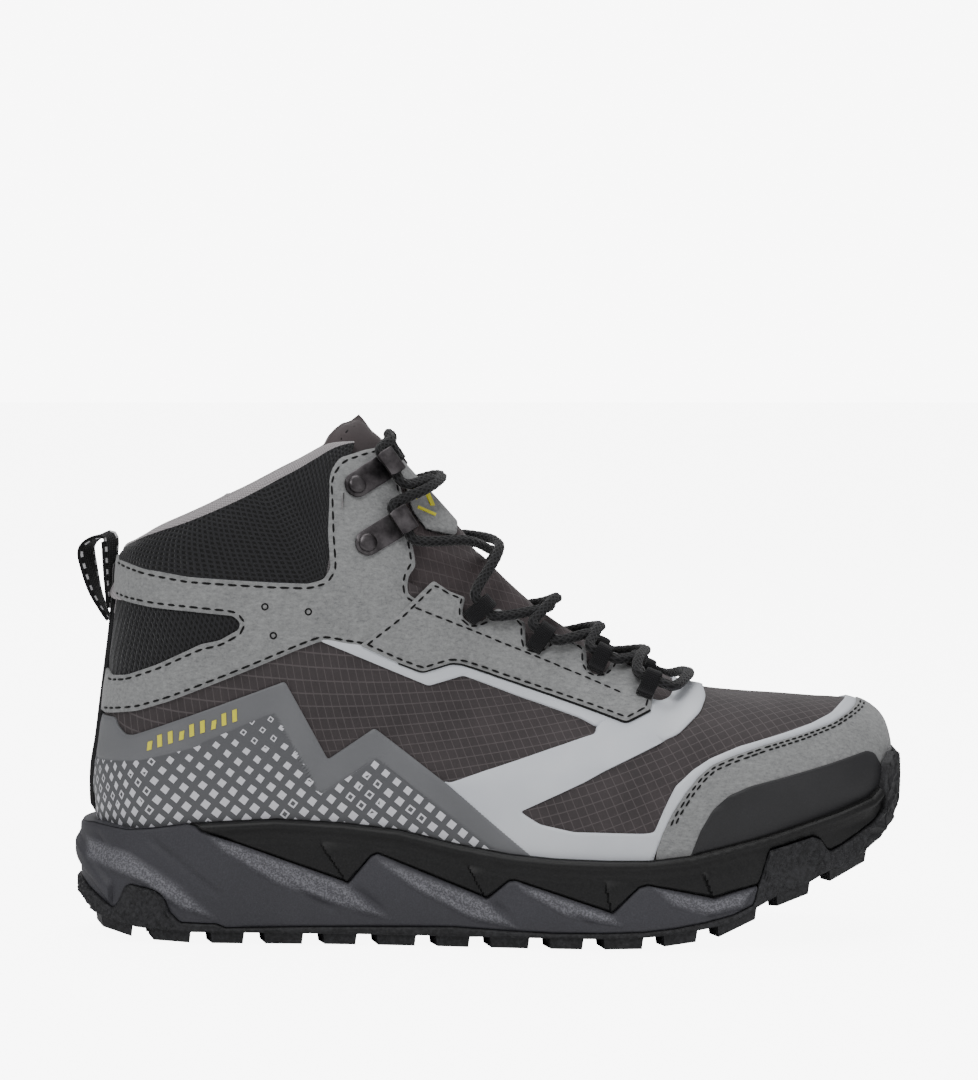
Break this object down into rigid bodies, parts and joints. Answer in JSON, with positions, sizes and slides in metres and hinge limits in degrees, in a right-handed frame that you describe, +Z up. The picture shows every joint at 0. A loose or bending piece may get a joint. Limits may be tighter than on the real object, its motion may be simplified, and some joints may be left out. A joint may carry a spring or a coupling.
{
  "type": "hiking boot",
  "caption": "Mid-height lace-up hiking boot, right foot, with lugged sole, webbing lace loops, open hooks, padded collar, sprung tongue, lift-out footbed and heel pull loop.",
  "frame": {"origin": "centre of the boot's footprint box, on the ground under the tread", "axes": "+X towards the toe, +Y towards the inner (medial) side, +Z up"},
  "size_m": [0.3032, 0.112, 0.1908],
  "materials": {
    "rubber_black": "moulded matt",
    "foam_slate": "moulded foam with fine speckle",
    "foam_black": "moulded matt, ribbed at the toe",
    "shank_plate": "plain",
    "board_fibre": "pressed fibre",
    "footbed_foam": "brushed top cloth",
    "stiffener_sheet": "plain",
    "lining_knit": "fine knit",
    "padding_foam": "open-cell foam",
    "mesh_black": "spacer mesh",
    "ripstop_brown": "ripstop weave",
    "film_white": "smooth welded film",
    "nubuck_grey": "brushed nubuck",
    "film_slate": "welded film with printed squares",
    "film_charcoal": "matt film",
    "tongue_cloth": "padded cloth",
    "gusset_cloth": "stretch cloth",
    "webbing_black": "woven webbing",
    "lace_charcoal": "braided",
    "hook_metal": "gunmetal, satin"
  },
  "bodies": {
    "shell": {"outsole": "rubber_black", "midsole_lower": "foam_slate", "midsole_frame": "foam_black", "shank": "shank_plate", "insole_board": "board_fibre", "heel_counter": "stiffener_sheet", "toe_puff": "stiffener_sheet", "bootie_lining": "lining_knit", "collar_foam": "padding_foam", "collar_lining": "lining_knit", "collar_mesh": "mesh_black", "heel_mesh": "mesh_black", "vamp": "ripstop_brown", "quarter_lateral": "ripstop_brown", "quarter_medial": "ripstop_brown", "white_overlay": "film_white", "toe_cap": "nubuck_grey", "heel_film_lateral": "film_slate", "heel_film_medial": "film_slate", "toe_film_lateral": "film_charcoal", "toe_film_medial": "film_charcoal", "ankle_overlay_lateral": "nubuck_grey", "ankle_overlay_medial": "nubuck_grey", "lace_stay_lateral": "nubuck_grey", "lace_stay_medial": "nubuck_grey", "heel_piping": "webbing_black", "lace_loops": "webbing_black", "lace_hooks": "hook_metal", "hook_rivets": "hook_metal", "lace": "lace_charcoal"},
    "tongue_unit": {"tongue": "tongue_cloth", "tongue_badge": "nubuck_grey", "gusset_lateral": "gusset_cloth", "gusset_medial": "gusset_cloth"},
    "insole": {"footbed": "footbed_foam"},
    "pull": {"pull_loop": "webbing_black"}
  },
  "joints": [
    {"name": "tongue_tilt", "type": "hinge", "parent": "shell", "child": "tongue_unit", "pos_m": [0.07, 0, 0.084], "axis": [0, 1, 0], "range_deg": [-7, 0], "stiffness_Nm_per_rad": 5},
    {"name": "footbed_lift", "type": "hinge", "parent": "shell", "child": "insole", "pos_m": [0.14, 0, 0.051], "axis": [0, 1, 0], "range_deg": [0, 6]},
    {"name": "pull_loop_flex", "type": "hinge", "parent": "shell", "child": "pull", "pos_m": [-0.1405, 0, 0.1133], "axis": [0, 1, 0], "range_deg": [-60, 0], "stiffness_Nm_per_rad": 0.05}
  ]
}
